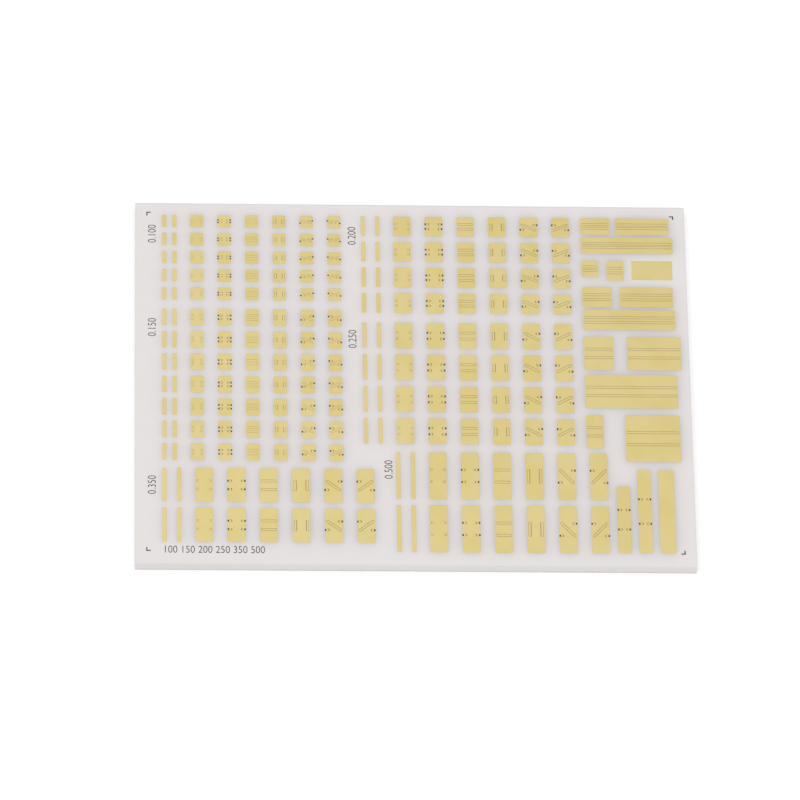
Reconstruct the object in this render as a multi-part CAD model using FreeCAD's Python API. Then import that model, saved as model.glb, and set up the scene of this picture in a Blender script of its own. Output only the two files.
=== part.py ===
import FreeCAD
import Part
import math
import os
from dataclasses import dataclass

# Probe calibration substrate: a bare ceramic plate that carries thin gold film standards
# for two-signal probes in six pitches, with film resistors and corner alignment marks.
# Sizes are millimetres. The origin is the middle of the underside, +X is to the right,
# +Y is to the rear edge and +Z is up, out of the face that carries the film.

# Ceramic plate
PLATE_THICKNESS = 0.45
PLATE_ARRIS = 0.03

# Films on the plate
GOLD_THICKNESS = 0.006
RESISTOR_THICKNESS = 0.004
MARK_THICKNESS = 0.004

# Corner marks, and the bare border from a mark's outer side to the plate's edge
MARK_ARM = 0.155
MARK_STROKE = 0.04
MARK_GAP = 0.029
SIDE_BORDER = 0.4
REAR_BORDER = 0.38
FRONT_BORDER = 0.515

# Least border between a line's end and the plate's right edge
LINE_END_BORDER = 0.29

# Inset of the standards from the outer sides of the corner marks
LEFT_INSET = 0.57
REAR_INSET = 0.11
FRONT_INSET = 0.02

# Signal pitch of each group of rows, its number of rows and the height of its pads
PITCH_100 = 0.1
PITCH_150 = 0.15
PITCH_200 = 0.2
PITCH_250 = 0.25
PITCH_350 = 0.35
PITCH_500 = 0.5
ROWS_100 = 5
ROWS_150 = 7
ROWS_200 = 4
ROWS_250 = 4
ROWS_350 = 2
ROWS_500 = 2
HEIGHT_100 = 0.53
HEIGHT_150 = 0.695
HEIGHT_200 = 0.835
HEIGHT_250 = 1.075
HEIGHT_350 = 1.385
HEIGHT_500 = 1.925

# Narrow bars at the head of each row, which short the probe's tips together
SHORT_WIDTH = 0.157
SHORT_GAP_FINE = 0.21
SHORT_GAP_COARSE = 0.366
SHORTS_TO_PADS = 0.495

# Columns of pads: the two finest pitches stand in narrower columns
PAD_WIDTH_FINE = 0.477
PAD_WIDTH_COARSE = 0.635
PAD_GAP = 0.519
ROW_GAP_FINE = 0.238
ROW_GAP_COARSE = 0.25

# Gaps between groups. The legend gaps leave room for the printed pitch figures.
LEGEND_GAP_REAR = 0.75
LEGEND_GAP_FRONT = 0.78
GAP_100_TO_150 = 0.38
GAP_150_TO_350 = 0.315
GAP_200_TO_250 = 0.405
GAP_250_TO_500 = 0.33
GAP_TO_LINES = 0.415
GAP_TO_BARS = 0.3
GAP_UNDER_STUB = 0.2

# Signal islands and the moats that part them from the ground film round them
TRACE_WIDTH = 0.07
TRACE_WIDTH_FINEST = 0.045
MOAT = 0.025
MOAT_FINEST = 0.02
TRACE_END_GROUND = 0.04
LOOP_SIDE_GROUND = 0.045
TOUCHDOWN_INSET = 0.12

# Load resistors, each in the mouth of a notch in the side of its pad. On the coarser
# pitches a signal island lies behind the resistor, in a wider chamber of the notch.
RESISTOR_LENGTH = 0.05
RESISTOR_WIDTH = 0.06
ISLAND_LENGTH = 0.09
ISLAND_FROM_PITCH = 0.3

# Transmission lines on the right: lengths, gaps between neighbours in a row, and gaps
# between the rows of one pitch and between the sets
LINE_LONG = 3.35
LINE_SHORT = 1.07
LINE_STUB = 0.62
LINE_MIDDLE_150 = 1.955
LINE_MIDDLE_200 = 1.93
LINE_MIDDLE_350 = 1.95
LINE_MIDDLE_500 = 1.97
LINE_GAP_150 = 0.2
LINE_GAP_200 = 0.29
LINE_GAP_350 = 0.49
LINE_GAP_500 = 0.785
LINE_ROW_GAP_150 = 0.115
LINE_ROW_GAP_200 = 0.123
LINE_ROW_GAP_350 = 0.204
LINE_SET_GAP = 0.295
PLAIN_LENGTH = 1.486
PLAIN_HEIGHT = 0.81

# Upright bars at the lower right
BAR_WIDTH = 0.478
BAR_PLAIN_WIDTH = 0.562
BAR_GAP = 0.275
BAR_HEIGHT_PER_PITCH = 3.416
BAR_PITCH_SHORT = 0.8
BAR_PITCH_LONG = 1.0
GAP_OVER_BARS = 0.328


@dataclass(frozen=True)
class Family:
    """The standards of one signal pitch: rows of two short bars and six pads."""

    pitch: float
    rows: int
    pad_height: float
    pad_width: float
    short_gap: float
    row_gap: float

    @property
    def depth(self):
        """Depth of the whole group, front to rear."""
        return self.rows * self.pad_height + (self.rows - 1) * self.row_gap

    @property
    def pads_start(self):
        """Distance from the group's left side to the first pad's left side."""
        return 2 * SHORT_WIDTH + self.short_gap + SHORTS_TO_PADS

    @property
    def width(self):
        """Width of the whole group, with one pad for each kind of standard."""
        pads = len(PAD_KINDS)
        return self.pads_start + pads * self.pad_width + (pads - 1) * PAD_GAP


@dataclass(frozen=True)
class Line:
    """One pad in a row of lines, and the gap to its left. A pitch of 0 is a plain pad."""

    pitch: float
    length: float
    height: float
    gap: float = 0.0


def fine_family(pitch, rows, pad_height):
    """A group in the narrow columns."""
    return Family(pitch, rows, pad_height, PAD_WIDTH_FINE, SHORT_GAP_FINE, ROW_GAP_FINE)


def coarse_family(pitch, rows, pad_height):
    """A group in the wide columns."""
    return Family(pitch, rows, pad_height, PAD_WIDTH_COARSE, SHORT_GAP_COARSE, ROW_GAP_COARSE)


FAMILY_100 = fine_family(PITCH_100, ROWS_100, HEIGHT_100)
FAMILY_150 = fine_family(PITCH_150, ROWS_150, HEIGHT_150)
FAMILY_200 = coarse_family(PITCH_200, ROWS_200, HEIGHT_200)
FAMILY_250 = coarse_family(PITCH_250, ROWS_250, HEIGHT_250)
FAMILY_350 = coarse_family(PITCH_350, ROWS_350, HEIGHT_350)
FAMILY_500 = coarse_family(PITCH_500, ROWS_500, HEIGHT_500)

# Rows of lines from the rear to the front: the gap over each row, then its pads
LINE_ROWS = [
    (0.0, [Line(PITCH_150, LINE_SHORT, HEIGHT_150),
           Line(PITCH_150, LINE_MIDDLE_150, HEIGHT_150, LINE_GAP_150)]),
    (LINE_ROW_GAP_150, [Line(PITCH_150, LINE_LONG, HEIGHT_150)]),
    (LINE_SET_GAP, [Line(PITCH_150, LINE_STUB, HEIGHT_150),
                    Line(PITCH_200, LINE_STUB, HEIGHT_200, LINE_GAP_200),
                    Line(0.0, PLAIN_LENGTH, PLAIN_HEIGHT, LINE_GAP_200)]),
    (LINE_SET_GAP, [Line(PITCH_200, LINE_SHORT, HEIGHT_200),
                    Line(PITCH_200, LINE_MIDDLE_200, HEIGHT_200, LINE_GAP_200)]),
    (LINE_ROW_GAP_200, [Line(PITCH_200, LINE_LONG, HEIGHT_200)]),
    (LINE_SET_GAP, [Line(PITCH_350, LINE_SHORT, HEIGHT_350),
                    Line(PITCH_350, LINE_MIDDLE_350, HEIGHT_350, LINE_GAP_350)]),
    (LINE_ROW_GAP_350, [Line(PITCH_350, LINE_LONG, HEIGHT_350)]),
    (LINE_SET_GAP, [Line(PITCH_350, LINE_STUB, HEIGHT_350),
                    Line(PITCH_500, LINE_MIDDLE_500, HEIGHT_500, LINE_GAP_500)]),
]


def micrometres(pitch):
    """A pitch as it stands in the names of the nodes."""
    return str(round(pitch * 1000))


def trace_width(pitch):
    """Width of a signal island: the finest pitch has its own."""
    return TRACE_WIDTH_FINEST if pitch <= PITCH_100 else TRACE_WIDTH


def moat_width(pitch):
    """Width of the bare gap round a signal island."""
    return MOAT_FINEST if pitch <= PITCH_100 else MOAT


def slab(outline, thickness, holes=()):
    """A flat piece of film on the plate's top face, from corner points."""
    wires = []
    for points in [outline] + list(holes):
        corners = [FreeCAD.Vector(x, y, PLATE_THICKNESS) for x, y in points]
        wires.append(Part.makePolygon(corners + corners[:1]))
    face = Part.makeFace(wires, "Part::FaceMakerBullseye")
    return face.extrude(FreeCAD.Vector(0, 0, thickness))


def rectangle(x, y, width, height, angle=0.0):
    """Corner points of a rectangle about its middle, turned by an angle in radians."""
    cos, sin = math.cos(angle), math.sin(angle)
    points = []
    for side, end in ((-1, -1), (1, -1), (1, 1), (-1, 1)):
        u, v = side * width / 2, end * height / 2
        points.append((x + u * cos - v * sin, y + u * sin + v * cos))
    return points


def notch(edge_x, y, side, pitch):
    """Points of a notch in a pad's side, for a right side (1) or a left side (-1)."""
    mouth = RESISTOR_WIDTH / 2
    points = [(0, -mouth), (RESISTOR_LENGTH, -mouth), (RESISTOR_LENGTH, mouth), (0, mouth)]
    if pitch > ISLAND_FROM_PITCH:
        half = trace_width(pitch) / 2 + moat_width(pitch)
        end = RESISTOR_LENGTH + ISLAND_LENGTH + moat_width(pitch)
        chamber = [(RESISTOR_LENGTH, -half), (end, -half), (end, half), (RESISTOR_LENGTH, half)]
        points = points[:2] + chamber + points[2:]
    return [(edge_x - side * inward, y + side * along) for inward, along in points]


def notched_outline(x, y, width, height, pitch, loads):
    """Outline of a pad with a notch for each load, given as (side, end) pairs of signs."""
    points = []
    for side in (1, -1):
        edge_x = x + side * width / 2
        points.append((edge_x, y - side * height / 2))
        for end in (-side, side):
            if (side, end) in loads:
                points += notch(edge_x, y + end * pitch / 2, side, pitch)
        points.append((edge_x, y + side * height / 2))
    return points


def load_islands(x, y, width, pitch, loads):
    """Signal islands behind the resistors, on the pitches that have room for them."""
    if pitch <= ISLAND_FROM_PITCH:
        return []
    reach = width / 2 - RESISTOR_LENGTH - ISLAND_LENGTH / 2
    return [slab(rectangle(x + side * reach, y + end * pitch / 2, ISLAND_LENGTH, trace_width(pitch)),
                 GOLD_THICKNESS)
            for side, end in loads]


def load_resistors(x, y, width, pitch, loads):
    """Resistors that fill the mouths of the notches, flush with the pad's sides."""
    reach = width / 2 - RESISTOR_LENGTH / 2
    return [slab(rectangle(x + side * reach, y + end * pitch / 2, RESISTOR_LENGTH, RESISTOR_WIDTH),
                 RESISTOR_THICKNESS)
            for side, end in loads]


def standard(x, y, width, height, pitch, loads=(), traces=()):
    """A ground pad with loads in its sides and signal islands along the given traces.

    A trace is (x, y, length, angle) of a signal island, measured without its moat.
    Returns the gold pieces and the resistors.
    """
    thin, moat = trace_width(pitch), moat_width(pitch)
    holes = [rectangle(trace_x, trace_y, length + 2 * moat, thin + 2 * moat, angle)
             for trace_x, trace_y, length, angle in traces]
    gold = [slab(notched_outline(x, y, width, height, pitch, loads), GOLD_THICKNESS, holes)]
    gold += [slab(rectangle(trace_x, trace_y, length, thin, angle), GOLD_THICKNESS)
             for trace_x, trace_y, length, angle in traces]
    gold += load_islands(x, y, width, pitch, loads)
    return gold, load_resistors(x, y, width, pitch, loads)


# The four signal places of a pad, as (side, end): right or left, rear or front
SIGNAL_PLACES = [(side, end) for side in (1, -1) for end in (-1, 1)]


def straight_traces(x, y, width, pitch):
    """Two level islands, one for each signal, that end just short of the pad's sides."""
    length = width - 2 * (TRACE_END_GROUND + moat_width(pitch))
    return [(x, y + end * pitch / 2, length, 0.0) for end in (-1, 1)]


def open_pad(x, y, family):
    """Open standard: an unbroken ground pad."""
    return standard(x, y, family.pad_width, family.pad_height, family.pitch)


def load_pad(x, y, family):
    """Load standard: a resistor at each of the four signal places."""
    return standard(x, y, family.pad_width, family.pad_height, family.pitch, SIGNAL_PLACES)


def straight_thru(x, y, family):
    """Through standard: both signals go straight across."""
    traces = straight_traces(x, y, family.pad_width, family.pitch)
    return standard(x, y, family.pad_width, family.pad_height, family.pitch, (), traces)


def loopback_thru(x, y, family):
    """Loop-back standard: an upright island at each side joins the two signals there."""
    thin, moat = trace_width(family.pitch), moat_width(family.pitch)
    reach = family.pad_width / 2 - LOOP_SIDE_GROUND - moat - thin / 2
    traces = [(x + side * reach, y, family.pitch + thin, math.pi / 2) for side in (-1, 1)]
    return standard(x, y, family.pad_width, family.pad_height, family.pitch, (), traces)


def crossed_thru(x, y, family, rise):
    """Crossing standard: one slanting island, and loads at the two other places.

    The island rises to the right for a rise of 1 and falls for -1.
    """
    half_run = family.pad_width / 2 - TOUCHDOWN_INSET
    half_rise = family.pitch / 2
    trace = (x, y, 2 * math.hypot(half_run, half_rise), rise * math.atan2(half_rise, half_run))
    loads = [(side, -rise * side) for side in (1, -1)]
    return standard(x, y, family.pad_width, family.pad_height, family.pitch, loads, [trace])


def falling_thru(x, y, family):
    """Crossing standard from the rear left to the front right."""
    return crossed_thru(x, y, family, -1)


def rising_thru(x, y, family):
    """Crossing standard from the front left to the rear right."""
    return crossed_thru(x, y, family, 1)


PAD_KINDS = [
    ("open_pads", open_pad),
    ("load_pads", load_pad),
    ("straight_thrus", straight_thru),
    ("loopback_thrus", loopback_thru),
    ("falling_thrus", falling_thru),
    ("rising_thrus", rising_thru),
]


class Substrate:
    """Lays the groups out from the rear left mark and collects the pieces of each node.

    While the groups are laid out, (0, 0) is the outer corner of the rear left mark.
    """

    def __init__(self):
        self.nodes = {}

    def add(self, node, pieces):
        """Puts pieces into a node."""
        if pieces:
            self.nodes.setdefault(node, []).extend(pieces)

    def add_row(self, family, left, y):
        """One row of a group: two short bars, then a pad of each kind."""
        label = micrometres(family.pitch)
        for place in range(2):
            x = left + SHORT_WIDTH / 2 + place * (SHORT_WIDTH + family.short_gap)
            bar = slab(rectangle(x, y, SHORT_WIDTH, family.pad_height), GOLD_THICKNESS)
            self.add(f"short_bars_{label}", [bar])
        x = left + family.pads_start + family.pad_width / 2
        for kind, make in PAD_KINDS:
            gold, resistors = make(x, y, family)
            self.add(f"{kind}_{label}", gold)
            self.add(f"load_resistors_{label}", resistors)
            x += family.pad_width + PAD_GAP

    def add_family(self, family, left, top):
        """All rows of one pitch, from the group's left and rear. Returns its front side."""
        for row in range(family.rows):
            y = top - family.pad_height / 2 - row * (family.pad_height + family.row_gap)
            self.add_row(family, left, y)
        return top - family.depth

    def add_line(self, line, left, top):
        """One transmission line, or a plain pad where the line has no pitch."""
        x, y = left + line.length / 2, top - line.height / 2
        if line.pitch:
            traces = straight_traces(x, y, line.length, line.pitch)
            gold, _ = standard(x, y, line.length, line.height, line.pitch, (), traces)
            self.add(f"transmission_lines_{micrometres(line.pitch)}", gold)
        else:
            self.add("plain_pads", [slab(rectangle(x, y, line.length, line.height), GOLD_THICKNESS)])

    def add_lines(self, left, top):
        """All rows of lines.

        Returns the right end of each row, and the front sides of the last row's first
        line and of that whole row.
        """
        ends = []
        for gap, row in LINE_ROWS:
            top -= gap
            x = left
            for line in row:
                x += line.gap
                self.add_line(line, x, top)
                x += line.length
            ends.append(x)
            stub_front = top - row[0].height
            top -= max(line.height for line in row)
        return ends, stub_front, top

    def add_bars(self, left, top):
        """The three upright bars, level at the front. Returns their right and front sides."""
        front = top - BAR_HEIGHT_PER_PITCH * BAR_PITCH_LONG
        x = left
        for pitch in (BAR_PITCH_SHORT, BAR_PITCH_LONG):
            height = BAR_HEIGHT_PER_PITCH * pitch
            gold, resistors = standard(x + BAR_WIDTH / 2, front + height / 2,
                                       BAR_WIDTH, height, pitch, SIGNAL_PLACES)
            self.add(f"load_bars_{micrometres(pitch)}", gold)
            self.add(f"load_resistors_{micrometres(pitch)}", resistors)
            x += BAR_WIDTH + BAR_GAP
        plain = rectangle(x + BAR_PLAIN_WIDTH / 2, (front + top) / 2, BAR_PLAIN_WIDTH, top - front)
        self.add("plain_pads", [slab(plain, GOLD_THICKNESS)])
        return x + BAR_PLAIN_WIDTH, front

    def add_marks(self, right, front):
        """L-shaped marks whose outer corners frame the artwork."""
        angle = [(0, 0), (MARK_ARM, 0), (MARK_ARM, MARK_STROKE), (MARK_STROKE, MARK_STROKE),
                 (MARK_STROKE, MARK_ARM), (0, MARK_ARM)]
        for x, inward_x in ((0, 1), (right, -1)):
            for y, inward_y in ((0, -1), (front, 1)):
                outline = [(x + inward_x * u, y + inward_y * v) for u, v in angle]
                self.add("alignment_marks", [slab(outline, MARK_THICKNESS)])

    def add_plate(self, width, depth):
        """The ceramic plate, with its long arrises broken."""
        corner = FreeCAD.Vector(-SIDE_BORDER, REAR_BORDER - depth, 0)
        plate = Part.makeBox(width, depth, PLATE_THICKNESS, corner)
        level_edges = [edge for edge in plate.Edges if edge.BoundBox.ZLength < PLATE_THICKNESS / 2]
        self.add("ceramic_plate", [plate.makeChamfer(PLATE_ARRIS, level_edges)])

    def build(self):
        """Lays out the artwork and cuts the plate to it. Returns the shift to the origin."""
        left, top = LEFT_INSET, -REAR_INSET
        front_100 = self.add_family(FAMILY_100, left, top)
        front_150 = self.add_family(FAMILY_150, left, front_100 - GAP_100_TO_150)

        left_200 = left + FAMILY_150.width + LEGEND_GAP_REAR
        front_200 = self.add_family(FAMILY_200, left_200, top)
        front_250 = self.add_family(FAMILY_250, left_200, front_200 - GAP_200_TO_250)

        left_lines = left_200 + FAMILY_200.width + GAP_TO_LINES
        line_ends, stub_front, lines_front = self.add_lines(left_lines, top)

        top_350 = min(front_150 - GAP_150_TO_350, front_250 - GAP_250_TO_500)
        front_350 = self.add_family(FAMILY_350, left, top_350)

        left_500 = left + FAMILY_350.width + LEGEND_GAP_FRONT
        top_500 = min(front_250 - GAP_250_TO_500, stub_front - GAP_UNDER_STUB)
        front_500 = self.add_family(FAMILY_500, left_500, top_500)

        left_bars = left_500 + FAMILY_500.width + GAP_TO_BARS
        bars_right, bars_front = self.add_bars(left_bars, lines_front - GAP_OVER_BARS)

        right = max(line_ends[0], bars_right) + MARK_GAP + MARK_ARM
        front = min(front_350, front_500, bars_front) - FRONT_INSET
        self.add_marks(right, front)

        width = max(right + SIDE_BORDER, max(line_ends) + LINE_END_BORDER) + SIDE_BORDER
        depth = REAR_BORDER - front + FRONT_BORDER
        self.add_plate(width, depth)
        return FreeCAD.Vector(SIDE_BORDER - width / 2, depth / 2 - REAR_BORDER, 0)

    def write(self, shift):
        """Moves the nodes to the plate's origin and writes a file for each."""
        os.makedirs("parts", exist_ok=True)
        for node, pieces in self.nodes.items():
            shape = pieces[0] if len(pieces) == 1 else Part.makeCompound(pieces)
            shape.translate(shift)
            shape.exportStep(os.path.join("parts", f"{node}.step"))


substrate = Substrate()
substrate.write(substrate.build())
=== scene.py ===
"""A ceramic calibration substrate with gold film standards, lying on a white table.

The plate's size and the places of all pads are read from the frame. Sizes and places are
millimetres until a mesh is made, and metres from then on.
"""

import logging
import math
from abc import ABC, abstractmethod
from dataclasses import dataclass
from enum import Enum
from typing import Any, Iterable, Sequence

import bpy
import numpy as np
from mathutils import Matrix, Vector
from mathutils.geometry import tessellate_polygon


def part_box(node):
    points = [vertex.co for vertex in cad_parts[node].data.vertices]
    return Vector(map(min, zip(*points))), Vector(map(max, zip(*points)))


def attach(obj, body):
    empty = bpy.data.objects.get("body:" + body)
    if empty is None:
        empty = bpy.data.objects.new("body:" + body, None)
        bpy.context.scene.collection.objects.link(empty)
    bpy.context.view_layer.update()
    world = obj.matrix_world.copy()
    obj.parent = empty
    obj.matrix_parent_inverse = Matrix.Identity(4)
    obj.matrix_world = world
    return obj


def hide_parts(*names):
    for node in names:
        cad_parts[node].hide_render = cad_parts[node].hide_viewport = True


LOG = logging.getLogger("calibration_substrate")

Colour = tuple[float, float, float]
Points = np.ndarray

MILLIMETRE = 0.001
WELD = 1e-7
BODY = "root"
SHADE_ATTRIBUTE = "film_shade"
# Thickness of the thin sheets of painted shade that lie on the bare ceramic of the moats
MOAT_SHADE_THICKNESS = 0.001

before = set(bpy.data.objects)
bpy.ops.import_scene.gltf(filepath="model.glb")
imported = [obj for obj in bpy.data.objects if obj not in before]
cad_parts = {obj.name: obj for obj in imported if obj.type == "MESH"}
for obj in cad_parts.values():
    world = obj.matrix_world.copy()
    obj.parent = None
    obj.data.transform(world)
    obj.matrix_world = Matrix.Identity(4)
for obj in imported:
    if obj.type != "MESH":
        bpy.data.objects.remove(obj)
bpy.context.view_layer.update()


def srgb(red: float, green: float, blue: float) -> Colour:
    """A linear colour from one written in 0 to 255, by the sRGB curve."""
    shares = np.array([red, green, blue]) / 255
    linear = np.where(shares <= 0.04045, shares / 12.92, ((shares + 0.055) / 1.055) ** 2.4)
    return tuple(float(value) for value in linear)


# Shader graphs


class Signal:
    """An output socket that can stand in Python arithmetic."""

    def __init__(self, graph: "Graph", socket: bpy.types.NodeSocket) -> None:
        """Keeps the graph and the socket."""
        self.graph = graph
        self.socket = socket

    def __add__(self, other: "Number") -> "Signal":
        """This value plus another."""
        return self.graph.maths("ADD", self, other)

    __radd__ = __add__

    def __sub__(self, other: "Number") -> "Signal":
        """This value less another."""
        return self.graph.maths("SUBTRACT", self, other)

    def __mul__(self, other: "Number") -> "Signal":
        """This value times another."""
        return self.graph.maths("MULTIPLY", self, other)

    def __lt__(self, other: "Number") -> "Signal":
        """1 where this value is under another, else 0."""
        return self.graph.maths("LESS_THAN", self, other)

    def __gt__(self, other: "Number") -> "Signal":
        """1 where this value is over another, else 0."""
        return self.graph.maths("GREATER_THAN", self, other)

    def __abs__(self) -> "Signal":
        """This value without its sign."""
        return self.graph.maths("ABSOLUTE", self, 0.0)


Number = Signal | float


class Graph:
    """The node tree of one material or world, and the few ways to add to it."""

    NOISE_MEAN = 0.5
    NOISE_ROUGHNESS = 0.55
    CLOUD_DETAIL = 2.0
    GRAIN_DETAIL = 3.0

    def __init__(self, tree: bpy.types.NodeTree) -> None:
        """Empties the tree."""
        self.tree = tree
        tree.nodes.clear()

    def add(self, kind: str, settings: dict[str, Any] | None = None,
            inputs: dict[str, Any] | None = None) -> bpy.types.Node:
        """Adds a node.

        Args:
            kind: the node's type.
            settings: the node's own properties, set before its sockets.
            inputs: a value or a signal for each socket, by the socket's identifier.

        Returns:
            The new node.
        """
        node = self.tree.nodes.new(kind)
        for name, value in (settings or {}).items():
            setattr(node, name, value)
        sockets = {socket.identifier: socket for socket in node.inputs}
        for name, value in (inputs or {}).items():
            if isinstance(value, Signal):
                self.tree.links.new(value.socket, sockets[name])
            elif isinstance(value, tuple) and sockets[name].type == "RGBA":
                sockets[name].default_value = (*value, 1.0)
            else:
                sockets[name].default_value = value
        return node

    def out(self, node: bpy.types.Node, name: str | int = 0) -> Signal:
        """A node's output as a signal."""
        return Signal(self, node.outputs[name])

    def maths(self, operation: str, first: Number, second: Number) -> Signal:
        """One arithmetic step on two values, as a Math node."""
        node = self.add("ShaderNodeMath", {"operation": operation},
                        {"Value": first, "Value_001": second})
        return self.out(node)

    def mix(self, share: Number, first: Colour | Signal, second: Colour | Signal) -> Signal:
        """Blends two colours, from the first at 0 to the second at 1."""
        node = self.add("ShaderNodeMix", {"data_type": "RGBA"},
                        {"Factor_Float": share, "A_Color": first, "B_Color": second})
        return Signal(self, next(s for s in node.outputs if s.identifier == "Result_Color"))

    def scaled(self, vector: Signal, factor: Number) -> Signal:
        """A colour or vector times a number."""
        node = self.add("ShaderNodeVectorMath", {"operation": "SCALE"},
                        {"Vector": vector, "Scale": factor})
        return self.out(node)

    def stretched(self, vector: Signal, factors: tuple[float, float, float]) -> Signal:
        """A vector times a factor along each axis."""
        node = self.add("ShaderNodeVectorMath", {"operation": "MULTIPLY"}, {"Vector": vector})
        node.inputs[1].default_value = factors
        return self.out(node)

    def place(self) -> Signal:
        """The point on the object, in millimetres."""
        return self.scaled(self.out(self.add("ShaderNodeTexCoord"), "Object"), 1 / MILLIMETRE)

    def axes(self, vector: Signal) -> list[Signal]:
        """A vector's values along x, y and z."""
        node = self.add("ShaderNodeSeparateXYZ", None, {"Vector": vector})
        return [self.out(node, axis) for axis in "XYZ"]

    def noise(self, place: Signal, per_mm: float, detail: float = CLOUD_DETAIL) -> Signal:
        """Cloudy noise about 0.5, with so many features to the millimetre."""
        node = self.add("ShaderNodeTexNoise", {"noise_dimensions": "3D"},
                        {"Vector": place, "Scale": per_mm, "Detail": detail,
                         "Roughness": self.NOISE_ROUGHNESS})
        return self.out(node)

    def sway(self, noise: Signal, span: float) -> Signal:
        """A noise moved to be about zero, times a span."""
        return (noise - self.NOISE_MEAN) * span

    def bump(self, height: Signal, depth: float, strength: float) -> Signal:
        """A bumped normal from a height of 0 to 1 and its full depth in millimetres."""
        node = self.add("ShaderNodeBump", None,
                        {"Height": height, "Distance": depth * MILLIMETRE, "Strength": strength})
        return self.out(node)

    def surface(self, inputs: dict[str, Any]) -> Signal:
        """The main shader with the given sockets."""
        return self.out(self.add("ShaderNodeBsdfPrincipled", None, inputs))

    def seen(self) -> Signal:
        """1 for rays from the camera and for what metal and glass show, else 0."""
        path = self.add("ShaderNodeLightPath")
        camera, glossy, through = [self.out(path, f"Is {kind} Ray")
                                   for kind in ("Camera", "Glossy", "Transmission")]
        return self.maths("MAXIMUM", self.maths("MAXIMUM", camera, glossy), through)


@dataclass(frozen=True)
class Finish(ABC):
    """What a surface is made of. Each kind of finish says how its shader is wired."""

    @abstractmethod
    def shader(self, graph: Graph) -> Signal:
        """The shader that this finish has in a graph.

        Args:
            graph: the graph that gets the nodes.

        Returns:
            The shader's output.
        """

    def material(self, name: str) -> bpy.types.Material:
        """Makes a material with this finish.

        Args:
            name: the material's name.

        Returns:
            The new material.
        """
        made = bpy.data.materials.new(name)
        made.use_nodes = True
        graph = Graph(made.node_tree)
        graph.add("ShaderNodeOutputMaterial", None, {"Surface": self.shader(graph)})
        return made


@dataclass(frozen=True)
class Alumina(Finish):
    """Fine ground white alumina. Light spreads inside it, so it is greyer beside the gold,
    which lets none out: the vertex attribute says how much gold is near."""

    half_width: float
    half_depth: float
    clear: Colour = srgb(227, 223.2, 222)
    beside_gold: Colour = srgb(172, 167, 165)
    grain_per_mm: float = 16.0
    grain_contrast: float = 0.05
    cloud_per_mm: float = 0.55
    cloud_contrast: float = 0.03
    grain_depth: float = 0.0012
    cut_depth: float = 0.004
    cut_top: float = 0.4496
    cut_contrast: float = 0.03
    # Painted shade: the foot of the sawn edges, and a band round the top face's rim that is
    # deeper at the rear, are darkened
    arris_foot: float = 0.44
    foot: float = 0.07
    foot_shade_contrast: float = 0.13
    rim: float = 0.045
    edge_shade_contrast: float = 0.035
    rear_shade_contrast: float = 0.07
    roughness: float = 0.46
    grain_gloss: float = 0.12
    sawn_gloss: float = 0.12
    saw_stretch: tuple[float, float, float] = (0.6, 0.6, 45.0)
    bump_strength: float = 0.5

    def shader(self, graph: Graph) -> Signal:
        """Ground faces with a fine grain and a rim of painted shade, darkest at the rear, and
        sawn edges with level lines and painted contact shade along the foot."""
        place = graph.place()
        attribute = graph.add("ShaderNodeAttribute", {"attribute_name": SHADE_ATTRIBUTE})
        shade = graph.out(attribute, "Fac")
        grain = graph.noise(place, self.grain_per_mm, graph.GRAIN_DETAIL)
        cloud = graph.noise(place, self.cloud_per_mm)
        lines = graph.noise(graph.stretched(place, self.saw_stretch), 1.0)
        x, y, height = graph.axes(place)
        sawn = height < self.cut_top
        # Painted contact shade: the foot of the sawn edge is darker where the plate meets the
        # table
        foot_shade = (height < self.foot) * self.foot_shade_contrast
        # Painted shade: a band round the top face's rim is darker, and deeper still at the rear
        at_side = graph.maths("MAXIMUM", abs(x) > self.half_width - self.rim,
                              abs(y) > self.half_depth - self.rim)
        at_rear = y > self.half_depth - self.rim
        wear_and_shade = ((at_side * self.edge_shade_contrast + at_rear * self.rear_shade_contrast)
                * (height > self.arris_foot))
        tone = (1 + graph.sway(grain, self.grain_contrast)
                + graph.sway(cloud, self.cloud_contrast))
        colour = graph.scaled(graph.mix(shade, self.clear, self.beside_gold),
                              tone - sawn * graph.sway(lines, self.cut_contrast)
                              - foot_shade - wear_and_shade)
        relief = grain * (self.grain_depth / self.cut_depth) + sawn * lines
        return graph.surface({
            "Base Color": colour,
            "Roughness": (self.roughness + graph.sway(grain, self.grain_gloss)
                          + sawn * self.sawn_gloss),
            "Normal": graph.bump(relief, self.cut_depth, self.bump_strength),
        })


@dataclass(frozen=True)
class GoldFilm(Finish):
    """Matte plated gold with a fine nodular grain and slow changes of tone. It is a little
    deeper towards the right and the rear of the plate."""

    bright: Colour = srgb(221.3, 204.3, 143.5)
    deep: Colour = srgb(217.3, 199.8, 133.5)
    cloud_per_mm: float = 0.75
    grain_per_mm: float = 22.0
    grain_contrast: float = 0.08
    lean_right: float = 0.0022
    lean_rear: float = 0.0016
    grain_depth: float = 0.0008
    drift_span: tuple[float, float] = (0.35, 0.65)
    roughness: float = 0.40
    cloud_gloss: float = 0.10
    grain_gloss: float = 0.08
    bump_strength: float = 0.35

    def shader(self, graph: Graph) -> Signal:
        """Metal whose colour drifts slowly, and whose grain shows in tone, gloss and relief."""
        place = graph.place()
        cloud = graph.noise(place, self.cloud_per_mm)
        grain = graph.noise(place, self.grain_per_mm, graph.GRAIN_DETAIL)
        low, high = self.drift_span
        drift = graph.out(graph.add("ShaderNodeMapRange", {"interpolation_type": "SMOOTHSTEP"},
                                    {"Value": cloud, "From Min": low, "From Max": high}))
        x, y, _ = graph.axes(place)
        colour = graph.scaled(graph.mix(drift, self.bright, self.deep),
                              1 + graph.sway(grain, self.grain_contrast)
                              - x * self.lean_right - y * self.lean_rear)
        return graph.surface({
            "Base Color": colour,
            "Metallic": 1.0,
            "Roughness": (self.roughness + graph.sway(cloud, self.cloud_gloss)
                          + graph.sway(grain, self.grain_gloss)),
            "Normal": graph.bump(grain, self.grain_depth, self.bump_strength),
        })


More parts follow.
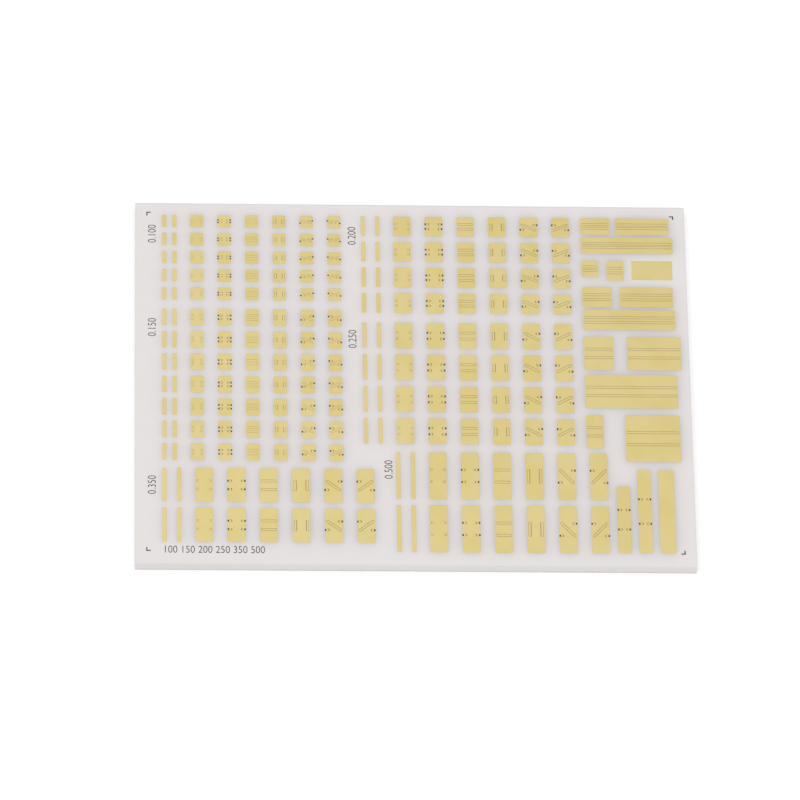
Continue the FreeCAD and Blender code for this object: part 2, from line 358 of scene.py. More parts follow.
@dataclass(frozen=True)
class ThinInk(Finish):
    """A dark film or print: resistor film, alignment marks, pitch figures and painted moat shade.
    """

    colour: Colour
    wear_and_shade: Colour
    grain_per_mm: float = 25.0
    grain_depth: float = 0.0006
    roughness: float = 0.5
    grain_gloss: float = 0.2
    bump_strength: float = 0.3

    def shader(self, graph: Graph) -> Signal:
        """A dull coat, mottled between its colour and its worn colour."""
        place = graph.place()
        grain = graph.noise(place, self.grain_per_mm, graph.GRAIN_DETAIL)
        return graph.surface({
            "Base Color": graph.mix(grain, self.colour, self.wear_and_shade),
            "Roughness": self.roughness + graph.sway(grain, self.grain_gloss),
            "Normal": graph.bump(grain, self.grain_depth, self.bump_strength),
        })


@dataclass(frozen=True)
class WhiteTable(Finish):
    """A white table top that the camera sees as plain white, less the shadow on it."""

    colour: Colour = srgb(240, 240, 240)
    glow: float = 0.18

    def shader(self, graph: Graph) -> Signal:
        """A dull white face, lifted a little where it is seen."""
        dull = graph.out(graph.add("ShaderNodeBsdfDiffuse", None, {"Color": self.colour}))
        lift = graph.out(graph.add("ShaderNodeEmission", None,
                                   {"Strength": graph.seen() * self.glow}))
        both = graph.add("ShaderNodeAddShader", None, {"Shader": dull, "Shader_001": lift})
        return graph.out(both)


# Outlines, as arrays of points in the plate's plane


def mitres(points: Points, after: np.ndarray, before: np.ndarray) -> tuple[Points, Points]:
    """The mitre at each point of closed outlines.

    It is the sum of the two edge normals, over 1 plus their dot product.

    Args:
        points: the outlines, anticlockwise.
        after: the number of the point after each one.
        before: the number of the point before each one.

    Returns:
        The mitres, and the outward unit normals of the edges that start at the points.
    """
    edge = points[after] - points
    normal = np.stack([edge[:, 1], -edge[:, 0]], axis=1)
    normal /= np.linalg.norm(normal, axis=1, keepdims=True)
    dot = (normal * normal[before]).sum(axis=1)
    return (normal + normal[before]) / (1 + dot)[:, None], normal


def cut_band(rise: int, angle: float, half_size: tuple[float, float], half_width: float,
             radius: float, steps: int) -> Points:
    """A slanting band about the origin, with its ends cut level and upright.

    The upper side is the line y cos a - x sin a = half width. It meets the level cut at
    the bend, and the lower side meets the upright cut at the shoulder. Each corner's arc
    is about the corner moved inwards along its mitre.

    Args:
        rise: 1 for a band that rises to the right, -1 for one that falls.
        angle: its slant in radians, above 0.
        half_size: half of its reach along x and y, where its ends are cut.
        half_width: half of its width across the slant.
        radius: radius of its corners.
        steps: straight steps in each corner.

    Returns:
        The corner points, anticlockwise.
    """
    reach, top = half_size
    bend = (top * math.cos(angle) - half_width) / math.sin(angle)
    shoulder = (reach * math.sin(angle) - half_width) / math.cos(angle)
    end = np.array([(reach, shoulder), (reach, top), (bend, top)])
    corners = np.concatenate([end, -end])
    if rise < 0:
        corners = corners[::-1] * (1, -1)
    order = np.arange(len(corners))
    mitre, normal = mitres(corners, np.roll(order, -1), np.roll(order, 1))
    before = np.roll(normal, 1, axis=0)
    dot = (normal * before).sum(axis=1)
    cross = before[:, 0] * normal[:, 1] - before[:, 1] * normal[:, 0]
    turns = (np.arctan2(before[:, 1], before[:, 0])[:, None]
             + np.arctan2(cross, dot)[:, None] * np.linspace(0, 1, steps + 1))
    arcs = np.stack([np.cos(turns), np.sin(turns)], axis=-1)
    return ((corners - radius * mitre)[:, None] + radius * arcs).reshape(-1, 2)


def logistic_cover(places: np.ndarray, low: np.ndarray, high: np.ndarray,
                   spread: float) -> np.ndarray:
    """How far each place lies inside each span, softened at the ends.

    The softened step is (1 + tanh(u / spread)) / 2, and a span is the step at its low
    end less the step at its high end.

    Args:
        places: coordinates along one axis.
        low: the spans' low ends.
        high: the spans' high ends.
        spread: half width of the soft ends.

    Returns:
        An array of spans by places, from 0 to 1.
    """
    rise = np.tanh((places[None] - low[:, None]) / spread)
    fall = np.tanh((places[None] - high[:, None]) / spread)
    return (rise - fall) / 2


# Solids of the frame


def mesh_points(mesh: bpy.types.Mesh) -> Points:
    """All vertices of a mesh, in its own unit."""
    points = np.empty(len(mesh.vertices) * 3, np.float32)
    mesh.vertices.foreach_get("co", points)
    return points.reshape(-1, 3).astype(float)


def node_points(node: str) -> Points:
    """All vertices of a CAD node, in millimetres."""
    return mesh_points(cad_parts[node].data) / MILLIMETRE


def base_height() -> float:
    """Height of the face that carries the films, in millimetres."""
    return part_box("ceramic_plate")[1].z / MILLIMETRE


def solid_boxes(node: str) -> np.ndarray:
    """The plan box of each separate solid of a CAD node.

    Vertices at one place are welded, then every triangle spreads the lowest group
    number of its corners until the groups stand still.

    Args:
        node: the CAD node's name.

    Returns:
        One row (left, front, right, rear) for each solid, in millimetres.
    """
    points = node_points(node)
    keys = np.round(points * MILLIMETRE / WELD).astype(np.int64)
    _, welded = np.unique(keys, axis=0, return_inverse=True)
    welded = welded.ravel()
    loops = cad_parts[node].data.loops
    corners = np.empty(len(loops), np.int32)
    loops.foreach_get("vertex_index", corners)
    triangles = welded[corners].reshape(-1, 3)
    group = np.arange(welded.max() + 1)
    settled = False
    while not settled:
        before = group.copy()
        lowest = group[triangles].min(axis=1)
        np.minimum.at(group, triangles, lowest[:, None])
        group = group[group]
        settled = bool((group == before).all())
    _, solid = np.unique(group[welded], return_inverse=True)
    boxes = np.full((solid.max() + 1, 4), (np.inf, np.inf, -np.inf, -np.inf))
    np.minimum.at(boxes[:, :2], solid, points[:, :2])
    np.maximum.at(boxes[:, 2:], solid, points[:, :2])
    return boxes


@dataclass(frozen=True)
class Pad:
    """A rectangle of film: its middle and its size."""

    x: float
    y: float
    width: float
    height: float

    def outline(self, radius: float, angle: float = 0.0, steps: int = 5) -> Points:
        """The outline with quarter circles at its corners, turned about its middle.

        Each corner's points are its circle's middle plus the radius times (cos t, sin t),
        with t running over a quarter turn.

        Args:
            radius: radius of the corners.
            angle: turn in radians.
            steps: straight steps in each corner.

        Returns:
            The corner points, anticlockwise from the front right corner.
        """
        turns = np.radians(np.array([270.0, 0.0, 90.0, 180.0]))[:, None]
        turns = turns + np.linspace(0, np.pi / 2, steps + 1)
        signs = np.array([(1, -1), (1, 1), (-1, 1), (-1, -1)])[:, None]
        middles = signs * (np.array([self.width, self.height]) / 2 - radius)
        points = middles + radius * np.stack([np.cos(turns), np.sin(turns)], axis=-1)
        turn = np.array([[math.cos(angle), math.sin(angle)],
                         [-math.sin(angle), math.cos(angle)]])
        return points.reshape(-1, 2) @ turn + (self.x, self.y)


# Least height of a pad, as a share of the tallest solid of its node: in the groups, where
# the pads are alike, in a node of unlike pads, and for the shade
GROUP_SHARE = 0.6
LONE_SHARE = 0.1
SHADING_SHARE = 0.3


def pads_of(node: str, least_share: float) -> list[Pad]:
    """The ground pads of a CAD node: its solids over a share of the tallest one's height.

    Args:
        node: the CAD node's name.
        least_share: least height of a pad, as a share of the tallest.

    Returns:
        The pads, with the small signal islands left out.
    """
    boxes = solid_boxes(node)
    heights = boxes[:, 3] - boxes[:, 1]
    tall = boxes[heights > least_share * heights.max()]
    return [Pad(*(row[:2] + row[2:]) / 2, *(row[2:] - row[:2])) for row in tall]


# Meshes


def new_mesh(name: str, points: Sequence[np.ndarray],
             faces: Sequence[np.ndarray]) -> bpy.types.Mesh:
    """Makes a mesh in metres.

    Args:
        name: its name.
        points: arrays of points in millimetres.
        faces: arrays of point numbers, all with as many corners.

    Returns:
        The mesh.
    """
    made = bpy.data.meshes.new(name)
    made.from_pydata((np.concatenate(points) * MILLIMETRE).tolist(), [],
                     np.concatenate(faces).tolist())
    return made


def link(name: str, data: bpy.types.ID) -> bpy.types.Object:
    """Adds an object with the given data to the scene."""
    made = bpy.data.objects.new(name, data)
    bpy.context.scene.collection.objects.link(made)
    return made


def finish_piece(mesh: bpy.types.Mesh, material: bpy.types.Material,
                 nodes: Iterable[str] = ()) -> None:
    """Turns a mesh into a piece of the object, riding on the plate's body.

    Args:
        mesh: the mesh, in metres, with the piece's name.
        material: its material.
        nodes: the CAD nodes that it stands for.
    """
    mesh.materials.append(material)
    piece = link(mesh.name, mesh)
    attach(piece, BODY)
    if nodes:
        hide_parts(*nodes)
    LOG.info("%s: %d faces", piece.name, len(mesh.polygons))


@dataclass(frozen=True)
class Film:
    """One film: its material, a slot name that is not used, its thickness, and how far its
    walls lean in from foot to crest."""

    material: bpy.types.Material
    slot: str
    thickness: float
    slope: float = 0.003


class FilmSheet:
    """Flat pieces of one film on the plate, gathered into one mesh.

    Each wall is the outline carried up a short profile: it stands at the foot, leans in
    by part of the slope and ends at the crest, where the flat top begins.
    """

    PROFILE = ((0.0, 0.0), (0.3, 0.75), (1.0, 1.0))

    def __init__(self, film: Film) -> None:
        """Starts an empty sheet of a film, on top of the plate.

        Args:
            film: what it is made of.
        """
        self.film = film
        self.base = base_height()
        self.vertices: list[np.ndarray] = []
        self.faces: list[np.ndarray] = []
        self.count = 0

    def add(self, outer: Points, holes: Sequence[Points] = ()) -> None:
        """Adds one piece of film, whose walls lean along the mitre of each corner.

        Args:
            outer: outline, anticlockwise.
            holes: outlines of its holes, anticlockwise too.
        """
        loops = [outer] + [hole[::-1] for hole in holes]
        plan = np.concatenate(loops)
        starts = np.cumsum([0] + [len(loop) for loop in loops[:-1]])
        after = np.concatenate([start + np.roll(np.arange(len(loop)), -1)
                                for start, loop in zip(starts, loops)])
        before = np.empty_like(after)
        before[after] = np.arange(len(plan))
        mitre, _ = mitres(plan, after, before)
        slope, thickness = self.film.slope, self.film.thickness
        rings = [np.column_stack([plan - mitre * slope * lean,
                                  np.full(len(plan), self.base + thickness * rise)])
                 for lean, rise in self.PROFILE]
        size = len(plan)
        top = (len(rings) - 1) * size
        corner = np.arange(size)
        faces = []
        for ring in range(len(rings) - 1):
            low, high = corner + ring * size, after + ring * size
            faces.append(np.stack([low, high, high + size], axis=1))
            faces.append(np.stack([low, high + size, low + size], axis=1))
        cap = np.array(tessellate_polygon([[Vector((*point, 0)) for point in loop]
                                           for loop in loops]))
        a, b, c = plan[cap[:, 0]], plan[cap[:, 1]], plan[cap[:, 2]]
        area = (b - a)[:, 0] * (c - a)[:, 1] - (b - a)[:, 1] * (c - a)[:, 0]
        cap = np.where(area[:, None] < 0, cap[:, ::-1], cap)
        faces += [cap + top, cap[:, ::-1]]
        self.vertices.append(np.concatenate(rings))
        self.faces.append(np.concatenate(faces) + self.count)
        self.count += size * len(rings)

    def finish(self, name: str, nodes: Iterable[str] = ()) -> None:
        """Makes one piece of the sheet, if there is anything on it.

        Args:
            name: the piece's name.
            nodes: the CAD nodes that it stands for.
        """
        if self.count:
            finish_piece(new_mesh(name, self.vertices, self.faces), self.film.material,
                         nodes)


@dataclass(frozen=True)
class CeramicPlate:
    """The sawn ceramic plate, with a dense top face that carries the shade round the gold."""

    cell: float = 0.1
    arris: float = 0.022
    lower_arris: float = 0.008
    arris_steps: int = 3
    near_spread: float = 0.13
    far_spread: float = 0.38
    near_share: float = 0.5

    def shade(self, x: np.ndarray, y: np.ndarray, pads: Sequence[Pad]) -> np.ndarray:
        """Share of the light that the gold keeps in, at each point of a grid.

        Each pad is a softened span along x times a softened span along y. The sum over
        all pads is one matrix product, and the shade blends a near and a far softness.

        Args:
            x: the grid's places along x.
            y: the grid's places along y.
            pads: all pads on the plate.

        Returns:
            An array of rows by columns, from 0 to 1.
        """
        middle = np.array([(pad.x, pad.y) for pad in pads])
        half = np.array([(pad.width, pad.height) for pad in pads]) / 2
        low, high = middle - half, middle + half
        total = 0.0
        for spread, share in ((self.near_spread, self.near_share),
                              (self.far_spread, 1 - self.near_share)):
            across = logistic_cover(x, low[:, 0], high[:, 0], spread)
            along = logistic_cover(y, low[:, 1], high[:, 1], spread)
            total = total + share * along.T @ across
        return np.clip(total, 0, 1)

    def edge_profile(self, low: float, high: float) -> list[tuple[float, float]]:
        """Outset and height round the edge, from the top face down to the underside.

        Each arris is a quarter circle of radius r: its drop is r (1 - cos t), and its
        outset falls short of the full one by r (1 - sin t).

        Args:
            low: height of the underside.
            high: height of the top face.

        Returns:
            The profile's points as (outset, height).
        """
        turns = np.linspace(0, np.pi / 2, self.arris_steps + 1)
        upper = [(self.arris * math.sin(t), high - self.arris * (1 - math.cos(t))) for t in turns]
        lower = [(self.arris - self.lower_arris * (1 - math.sin(t)),
                  low + self.lower_arris * (1 - math.cos(t))) for t in turns[::-1]]
        return upper + lower

    def build(self, pads: Sequence[Pad], material: bpy.types.Material) -> None:
        """Makes the plate as two grids joined by rings.

        A ring is the grids' rim with each axis stretched by (half size + outset) over
        half size.

        Args:
            pads: all pads on the plate, for the shade.
            material: the alumina.
        """
        points = node_points("ceramic_plate")
        low, high = points.min(axis=0), points.max(axis=0)
        x, y = (np.linspace(low[axis] + self.arris, high[axis] - self.arris,
                            round((high[axis] - low[axis]) / self.cell) + 1) for axis in (0, 1))
        columns, rows = len(x), len(y)
        index = np.arange(columns * rows).reshape(rows, columns)
        flat = np.stack(np.meshgrid(x, y), axis=-1).reshape(-1, 2)
        rim = np.concatenate([index[0, :-1], index[:-1, -1], index[-1, :0:-1], index[:0:-1, 0]])
        half = np.array([x[-1], y[-1]])
        profile = self.edge_profile(low[2], high[2])
        under = columns * rows
        foot = flat * (half + profile[-1][0]) / half
        vertices = [np.column_stack([flat, np.full(under, high[2])]),
                    np.column_stack([foot, np.full(under, low[2])])]
        rings = [rim]
        for outset, height in profile[1:-1]:
            ring = flat[rim] * (half + outset) / half
            rings.append(2 * under + len(rim) * (len(rings) - 1) + np.arange(len(rim)))
            vertices.append(np.column_stack([ring, np.full(len(rim), height)]))
        rings.append(rim + under)
        corners = [index[:-1, :-1], index[:-1, 1:], index[1:, 1:], index[1:, :-1]]
        upper = np.stack([corner.ravel() for corner in corners], axis=1)
        faces = [upper, upper[:, ::-1] + under]
        for above, below in zip(rings, rings[1:]):
            faces.append(np.stack([above, below, np.roll(below, -1), np.roll(above, -1)], axis=1))
        mesh = new_mesh("ceramic_plate_ground", vertices, faces)
        shade = np.zeros(len(mesh.vertices), np.float32)
        shade[:under] = self.shade(x, y, pads).ravel()
        mesh.attributes.new(SHADE_ATTRIBUTE, "FLOAT", "POINT").data.foreach_set("value", shade)
        finish_piece(mesh, material, ["ceramic_plate"])


# Gold film standards


class PadKind(Enum):
    """The kinds of standard in a row, by the names of their CAD nodes."""

    OPEN = "open_pads"
    LOAD = "load_pads"
    STRAIGHT = "straight_thrus"
    LOOPBACK = "loopback_thrus"
    FALLING = "falling_thrus"
    RISING = "rising_thrus"


# The four signal places of a pad: right or left, front or rear
PLACES = tuple((side, end) for side in (1, -1) for end in (-1, 1))


@dataclass(frozen=True)
class Moat:
    """The bare gaps round an island: before and after it along its length, and to the
    right and left of that direction."""

    before: float
    after: float
    right: float
    left: float


@dataclass(frozen=True)
class Trace:
    """A signal island's width, and its bare gaps towards the pad's outside, towards its
    inside and at its ends."""

    width: float = 0.075
    outer: float = 0.0135
    inner: float = 0.0135
    end: float = 0.008

    def moat(self, outer_side: int) -> Moat:
        """The gaps for an outer side on the left (1) or the right (-1) of the island."""
        right, left = (self.inner, self.outer) if outer_side > 0 else (self.outer, self.inner)
        return Moat(self.end, self.end, right, left)


@dataclass(frozen=True)
class Etch:
    """Sizes of what is etched into the pads of one pitch."""

    pitch: float
    level: Trace = Trace()
    loop: Trace = Trace(0.073, 0.0095, 0.022)
    slant: Trace = Trace(outer=0.015)
    level_ground: float = 0.045
    loop_side: float = 0.052
    loop_reach: float = 0.0
    touchdown: float = 0.095
    pad_corner: float = 0.045
    plain_corner: float = 0.03
    island_corner: float = 0.015
    resistor_start: float = -0.008
    resistor_length: float = 0.053
    resistor_width: float = 0.076
    load_length: float = 0.082
    load_width: float = 0.080
    load_side: float = 0.006
    load_end: float = 0.032
    open_start: float = 0.05
    open_length: float = 0.065
    open_width: float = 0.076
    open_moat: Moat = Moat(0.004, 0.011, 0.006, 0.006)


@dataclass(frozen=True)
class Films:
    """The films of the standards: gold, painted shade in its moats, and resistors."""

    gold: Film
    moat_shade: Film
    resistor: Film


class PadEtcher:
    """Etches pads of one pitch into a sheet of gold, lays painted shade in their moats, and
    bridges the mouths of the load places with resistors."""

    ISLAND_STEPS = 3
    RESISTOR_STEPS = 2
    CHAMBER_STEPS = 8

    def __init__(self, etch: Etch, films: Films) -> None:
        """Starts with empty sheets of gold, painted moat shade and resistors.

        Args:
            etch: sizes of what is etched.
            films: what the sheets are made of.
        """
        self.etch = etch
        self.gold = FilmSheet(films.gold)
        self.moat_shade_sheet = FilmSheet(films.moat_shade)
        self.resistors = FilmSheet(films.resistor)

    def notch(self, edge: float, y: float, side: int) -> Points:
        """A notch in a pad's side: the resistor's mouth, then a chamber with a round end.

        Args:
            edge: the side's place along x.
            y: the notch's middle.
            side: 1 for the right side, -1 for the left.

        Returns:
            The notch's points, in the order of an anticlockwise outline.
        """
        size = self.etch
        mouth = size.resistor_width / 2
        deep = size.resistor_start + size.resistor_length
        half = size.load_width / 2 + size.load_side
        end = deep + size.load_length + size.load_end
        bend = size.island_corner + size.load_side
        turns = np.linspace(-np.pi / 2, np.pi / 2, self.CHAMBER_STEPS + 1)
        lift = np.where(turns < 0, bend - half, half - bend)
        lift[self.CHAMBER_STEPS // 2] = 0.0
        round_end = np.stack([end - bend + bend * np.cos(turns), lift + bend * np.sin(turns)],
                             axis=1)
        points = np.concatenate([[(0, -mouth), (deep, -mouth), (deep, -half)], round_end,
                                 [(deep, half), (deep, mouth), (0, mouth)]])
        return points * (-side, side) + (edge, y)

    def pad_outline(self, pad: Pad, loads: Sequence[tuple[int, int]]) -> Points:
        """A pad's outline with rounded corners and a notch for each load.

        Args:
            pad: the pad.
            loads: signal places as (side, end).

        Returns:
            The outline, anticlockwise.
        """
        corners = np.split(pad.outline(self.etch.pad_corner), 4)
        parts = []
        for side, quarters in ((1, corners[:2]), (-1, corners[2:])):
            parts.append(quarters[0])
            for end in (-side, side):
                if (side, end) in loads:
                    y = pad.y + end * self.etch.pitch / 2
                    parts.append(self.notch(pad.x + side * pad.width / 2, y, side))
            parts.append(quarters[1])
        return np.concatenate(parts)

    def load(self, pad: Pad, side: int, end: int) -> None:
        """Adds a resistor in a pad's side, the island behind it, and painted shade in the
        chamber.

        Args:
            pad: the pad.
            side: 1 for its right side, -1 for its left.
            end: 1 for its rear signal, -1 for its front one.
        """
        size = self.etch
        y = pad.y + end * size.pitch / 2
        edge = pad.x + side * pad.width / 2
        deep = size.resistor_start + size.resistor_length
        corner = size.island_corner
        self.resistors.add(Pad(edge - side * (deep - size.resistor_length / 2), y,
                               size.resistor_length, size.resistor_width)
                           .outline(corner / 2, steps=self.RESISTOR_STEPS))
        self.gold.add(Pad(edge - side * (deep + size.load_length / 2), y, size.load_length,
                          size.load_width).outline(corner, steps=self.ISLAND_STEPS))
        length = size.load_length + size.load_end
        self.moat_shade_sheet.add(Pad(edge - side * (deep + length / 2), y, length,
                          size.load_width + 2 * size.load_side)
                      .outline(corner, steps=self.ISLAND_STEPS))

    def island(self, shape: Pad, angle: float, moat: Moat) -> Points:
        """Adds a signal island and the painted shade in its moat.

        The hole's middle leaves the island's by half the difference of the gaps on
        opposite sides.

        Args:
            shape: the island, before its turn.
            angle: its turn in radians.
            moat: the bare gaps round it.

        Returns:
            The outline of the hole that the island needs.
        """
        corner = self.etch.island_corner
        self.gold.add(shape.outline(corner, angle, self.ISLAND_STEPS))
        along, across = (moat.after - moat.before) / 2, (moat.left - moat.right) / 2
        hole = Pad(shape.x + along * math.cos(angle) - across * math.sin(angle),
                   shape.y + along * math.sin(angle) + across * math.cos(angle),
                   shape.width + moat.before + moat.after,
                   shape.height + moat.right + moat.left)
        outline = hole.outline(corner + min(moat.right, moat.left) / 2, angle,
                               self.ISLAND_STEPS)
        self.moat_shade_sheet.add(outline)
        return outline

    def level_islands(self, pad: Pad) -> list[Points]:
        """Two islands straight across a pad, one for each signal.

        Args:
            pad: the pad.

        Returns:
            The outlines of their holes.
        """
        trace = self.etch.level
        length = pad.width - 2 * (self.etch.level_ground + trace.end)
        return [self.island(Pad(pad.x, pad.y + end * self.etch.pitch / 2, length, trace.width),
                            0.0, trace.moat(end)) for end in (-1, 1)]

    def upright_islands(self, pad: Pad) -> list[Points]:
        """Two upright islands that each join both signals on one side.

        Args:
            pad: the pad.

        Returns:
            The outlines of their holes.
        """
        size, trace = self.etch, self.etch.loop
        reach = pad.width / 2 - size.loop_side - trace.outer - trace.width / 2
        length = size.pitch + trace.width + size.loop_reach
        return [self.island(Pad(pad.x + side * reach, pad.y, length, trace.width),
                            math.pi / 2, trace.moat(-side)) for side in (-1, 1)]

    def slanting_island(self, pad: Pad, rise: int) -> list[Points]:
        """One island from corner to corner, that rises to the right or falls. It is cut
        level with the outer sides of the signals, and upright where level islands end, and
        its outer gap runs along both sides.

        Args:
            pad: the pad.
            rise: 1 for an island that rises to the right, -1 for one that falls.

        Returns:
            The outline of its hole.
        """
        size, trace = self.etch, self.etch.slant
        angle = math.atan2(size.pitch, pad.width - 2 * size.touchdown)
        reach = pad.width / 2 - size.level_ground - trace.end
        half = trace.width / 2
        island, hole = (
            cut_band(rise, angle, (reach + end, size.pitch / 2 + half + gap), half + gap,
                     size.island_corner + gap / 2, self.ISLAND_STEPS) + (pad.x, pad.y)
            for gap, end in ((0.0, 0.0), (trace.outer, trace.end)))
        self.gold.add(island)
        self.moat_shade_sheet.add(hole)
        return [hole]

    def open_islands(self, pad: Pad) -> list[Points]:
        """Four short faint islands near the sides of an open pad, pointing to their side.

        Args:
            pad: the pad.

        Returns:
            The outlines of their holes.
        """
        size = self.etch
        moat = size.open_moat
        reach = pad.width / 2 - size.open_start - moat.after - size.open_length / 2
        return [self.island(Pad(pad.x + side * reach, pad.y + end * size.pitch / 2,
                                size.open_length, size.open_width),
                            0.0 if side > 0 else math.pi, moat) for side, end in PLACES]

    def add(self, pad: Pad, kind: PadKind) -> None:
        """Etches one standard.

        Args:
            pad: where it lies.
            kind: which standard it is.
        """
        loads: list[tuple[int, int]] = []
        holes: list[Points] = []
        if kind is PadKind.OPEN:
            holes = self.open_islands(pad)
        elif kind is PadKind.LOAD:
            loads = list(PLACES)
        elif kind is PadKind.STRAIGHT:
            holes = self.level_islands(pad)
        elif kind is PadKind.LOOPBACK:
            holes = self.upright_islands(pad)
        else:
            rise = 1 if kind is PadKind.RISING else -1
            holes = self.slanting_island(pad, rise)
            loads = [(side, -rise * side) for side in (1, -1)]
        self.gold.add(self.pad_outline(pad, loads), holes)
        for side, end in loads:
            self.load(pad, side, end)


@dataclass(frozen=True)
class Column:
    """Gold nodes of one signal pitch, each with the kind of its pads, or None for plain
    ones, and the label that the column's resistors have in the frame."""

    label: str
    etch: Etch
    kinds: tuple[tuple[str, PadKind | None], ...]
    least_share: float = LONE_SHARE

    def build(self, films: Films) -> None:
        """Makes a piece for each gold node, one for the painted moat shade and one for the
        resistors. Islands of the frame, which are lower than the pitch, are etched anew.

        Args:
            films: the films of the standards.
        """
        etcher = PadEtcher(self.etch, films)
        for node, kind in self.kinds:
            etcher.gold = FilmSheet(films.gold)
            for pad in pads_of(node, self.least_share):
                if kind is None:
                    etcher.gold.add(pad.outline(self.etch.plain_corner))
                elif pad.height > self.etch.pitch:
                    etcher.add(pad, kind)
            etcher.gold.finish(f"{node}_film", [node])
        etcher.moat_shade_sheet.finish(f"painted_moat_shades_{self.label}")
        node = f"load_resistors_{self.label}"
        etcher.resistors.finish(f"{node}_film", [node])


def pitch_group(pitch: int, **sizes: Any) -> Column:
    """The short bars and a row of each kind of pad of one pitch in micrometres.

    Args:
        pitch: the signal pitch.
        sizes: the fields of its Etch that differ from the usual ones.

    Returns:
        The column of all these nodes.
    """
    kinds = ((f"{kind.value}_{pitch}", kind) for kind in PadKind)
    return Column(str(pitch), Etch(pitch / 1000, **sizes),
                  ((f"short_bars_{pitch}", None), *kinds), GROUP_SHARE)


# Print


@dataclass(frozen=True)
class Figures:
    """A line of plain figures in narrow print."""

    RAW_DEPTH = 0.5

    text: str
    x: float
    y: float
    length: float = 0.75
    angle: float = math.pi / 2
    cap_height: float = 0.285
    thickness: float = 0.002
    stroke_offset: float = -0.009

    def mesh(self, name: str) -> bpy.types.Mesh:
        """The figures as a mesh, stretched to their size and turned into place.

        Args:
            name: the mesh's name.

        Returns:
            The mesh, in metres.
        """
        curve = bpy.data.curves.new(name, "FONT")
        curve.body = self.text
        curve.offset = self.stroke_offset
        curve.extrude = self.RAW_DEPTH
        source = link(name, curve)
        graph = bpy.context.evaluated_depsgraph_get()
        made = bpy.data.meshes.new_from_object(source.evaluated_get(graph))
        bpy.data.objects.remove(source)
        made.name = name
        points = mesh_points(made)
        low, high = points.min(axis=0), points.max(axis=0)
        size = np.array([self.length, self.cap_height, self.thickness])
        points = (points - (low + high) / 2) / (high - low) * size
        turn = np.array(Matrix.Rotation(self.angle, 3, "Z"))
        points = points @ turn.T + (self.x, self.y, base_height() + self.thickness / 2)
        made.vertices.foreach_set("co", (points * MILLIMETRE).astype(np.float32).ravel())
        made.update()
        return made


# Studio


def direction(azimuth: float, elevation: float) -> Vector:
    """The unit vector towards a side and a height, in degrees from straight in front."""
    turn, rise = math.radians(azimuth), math.radians(elevation)
    return Vector((math.sin(turn) * math.cos(rise), -math.cos(turn) * math.cos(rise),
                   math.sin(rise)))


@dataclass(frozen=True)
class Viewpoint:
    """The camera: where it looks, from which side, how far off and how tilted."""

    target: tuple[float, float, float] = (-0.48728, -0.71136, 0.45)
    azimuth: float = -5.0213
    elevation: float = 59.7608
    roll: float = 4.7902
    distance: float = 291.7804
    lens: float = 365.3895
    clip: tuple[float, float] = (0.01, 10.0)

    def build(self) -> None:
        """Makes the camera and sets it as the scene's own."""
        back = direction(self.azimuth, self.elevation)
        data = bpy.data.cameras.new("camera")
        data.lens = self.lens
        data.clip_start, data.clip_end = self.clip
        camera = link("camera", data)
        facing = (-back).to_track_quat("-Z", "Y").to_matrix()
        tilted = facing @ Matrix.Rotation(math.radians(self.roll), 3, "Z")
        place = (Vector(self.target) + back * self.distance) * MILLIMETRE
        camera.matrix_world = Matrix.Translation(place) @ tilted.to_4x4()
        bpy.context.scene.camera = camera


@dataclass(frozen=True)
class Studio:
    """A white table under an even white sky, with one soft lamp."""

    sky: float = 0.84
    lamp_power: float = 0.53
    lamp_size: float = 0.35
    lamp_distance: float = 0.5
    lamp_azimuth: float = -20.0
    lamp_elevation: float = 68.0
    table_size: float = 1.2
    table_gap: float = 0.002

    def build(self) -> None:
        """Makes the table, the sky and the lamp."""
        half = self.table_size / 2
        level = -self.table_gap * MILLIMETRE
        mesh = bpy.data.meshes.new("table")
        mesh.from_pydata([(-half, -half, level), (half, -half, level), (half, half, level),
                          (-half, half, level)], [], [(0, 1, 2, 3)])
        mesh.materials.append(WhiteTable().material("white_table"))
        table = link("table", mesh)
        self.build_sky()
        lamp = bpy.data.lights.new("soft_lamp", "AREA")
        lamp.size = self.lamp_size
        lamp.energy = self.lamp_power
        holder = link("soft_lamp", lamp)
        back = direction(self.lamp_azimuth, self.lamp_elevation)
        holder.location = back * self.lamp_distance
        holder.rotation_euler = (-back).to_track_quat("-Z", "Y").to_euler()

    def build_sky(self) -> None:
        """An even sky, plain white to the camera and in reflections."""
        world = bpy.data.worlds.new("white_sky")
        world.use_nodes = True
        bpy.context.scene.world = world
        graph = Graph(world.node_tree)
        strength = self.sky + graph.seen() * (1 - self.sky)
        sky = graph.add("ShaderNodeBackground", None,
                        {"Color": (1.0, 1.0, 1.0), "Strength": strength})
        graph.add("ShaderNodeOutputWorld", None, {"Surface": graph.out(sky)})


# The whole substrate


FINE_LOOP = Trace(0.076, 0.0075, 0.016, 0.005)

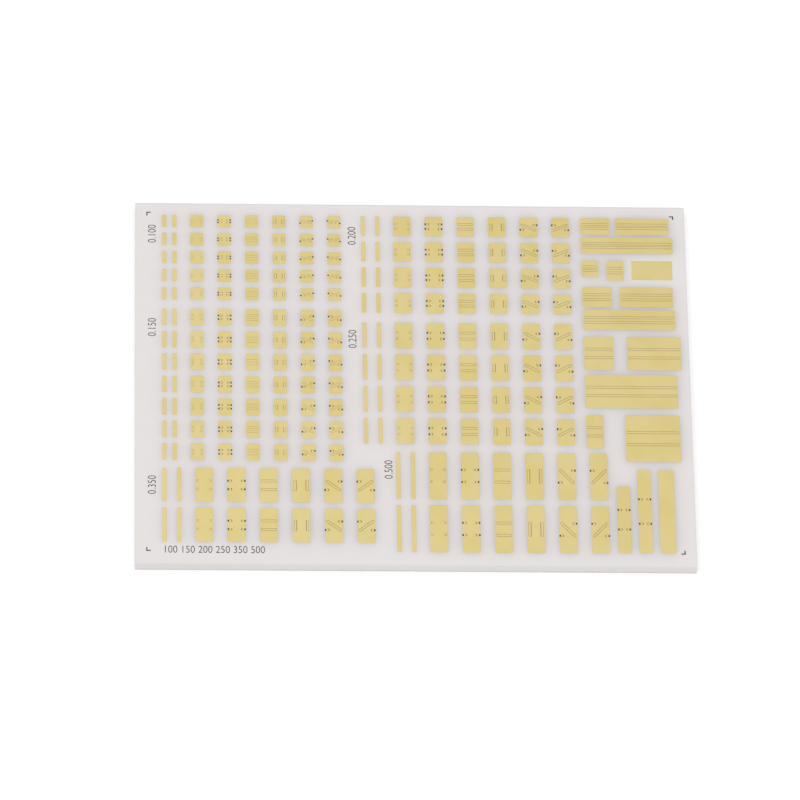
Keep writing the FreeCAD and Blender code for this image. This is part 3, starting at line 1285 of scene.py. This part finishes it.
COLUMNS = (
    pitch_group(100, level=Trace(0.089, 0.0065, 0.002, 0.001), loop=FINE_LOOP,
                slant=Trace(0.05, 0.0065, end=0.003), loop_side=0.045, loop_reach=0.01,
                resistor_start=-0.012, resistor_length=0.056, resistor_width=0.054,
                load_length=0.106, load_width=0.056, load_side=0.002, load_end=0.018,
                open_moat=Moat(0.001, 0.003, 0.001, 0.001)),
    pitch_group(150, level=Trace(0.075, 0.009, 0.006, 0.002), loop=FINE_LOOP,
                slant=Trace(0.068, 0.0075, end=0.003), loop_side=0.045, loop_reach=-0.03,
                resistor_start=-0.01, resistor_width=0.064, load_length=0.088,
                load_width=0.068, load_side=0.008, load_end=0.026,
                open_moat=Moat(0.004, 0.007, 0.005, 0.005)),
    pitch_group(200),
    pitch_group(250),
    pitch_group(350),
    pitch_group(500, open_moat=Moat(0.005, 0.017, 0.008, 0.008)),
    *(Column(f"lines_{pitch}", Etch(pitch / 1000, level=Trace(end=line_end)),
             ((f"transmission_lines_{pitch}", PadKind.STRAIGHT),))
      for pitch, line_end in ((150, 0.002), (200, 0.004), (350, 0.004), (500, 0.004))),
    *(Column(str(pitch), Etch(pitch / 1000, resistor_start=0.006),
             ((f"load_bars_{pitch}", PadKind.LOAD),)) for pitch in (800, 1000)),
    Column("plain", Etch(1.0, plain_corner=0.045), (("plain_pads", None),)),
)

FIGURES = (
    Figures("0.100", -9.40, 6.19),
    Figures("0.150", -9.40, 2.25),
    Figures("0.350", -9.40, -4.28),
    Figures("0.200", -2.145, 6.17),
    Figures("0.250", -2.165, 1.82),
    Figures("0.500", -0.942, -3.59),
    Figures("100 150 200 250 350 500", -7.16, -6.907, 3.55, 0.0),
)


def main() -> None:
    """Builds the plate, its films, its print and the studio."""
    logging.basicConfig(level=logging.INFO, format="%(name)s %(message)s")
    base = base_height()
    gold = GoldFilm().material("gold_film")
    # Painted shade: the bare ceramic in the narrow moats is darkened with a brown sheet, to stand
    # for the shade of the gold round it
    moat_shade = ThinInk(srgb(142, 119, 90), srgb(158, 135, 104), roughness=0.6).material("painted_moat_shade")
    resistor = ThinInk(srgb(36, 19, 16), srgb(50, 32, 27)).material("resistor_film")
    films = Films(Film(gold, "gold_film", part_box("plain_pads")[1].z / MILLIMETRE - base),
                  Film(moat_shade, "alumina", MOAT_SHADE_THICKNESS, slope=0.0),
                  Film(resistor, "resistor_film",
                       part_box("load_resistors_500")[1].z / MILLIMETRE - base))
    mark = ThinInk(srgb(26, 26, 28), srgb(44, 44, 46)).material("mark_film")
    ink = ThinInk(srgb(32, 30, 33), srgb(52, 50, 52), roughness=0.6).material("grey_print")

    pads = [pad for column in COLUMNS for node, _ in column.kinds
            for pad in pads_of(node, SHADING_SHARE)]
    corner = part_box("ceramic_plate")[1] / MILLIMETRE
    CeramicPlate().build(pads, Alumina(corner.x, corner.y).material("alumina"))

    for column in COLUMNS:
        column.build(films)

    mark_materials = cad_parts["alignment_marks"].data.materials
    mark_materials.clear()
    mark_materials.append(mark)
    LOG.info("alignment_marks: carried over from the frame")

    for figures in FIGURES:
        name = "figures_" + figures.text.replace(".", "_").replace(" ", "_")
        finish_piece(figures.mesh(name), ink)

    Studio().build()
    Viewpoint().build()
    bpy.context.scene.view_settings.view_transform = "Standard"


if __name__ == "__main__":
    main()
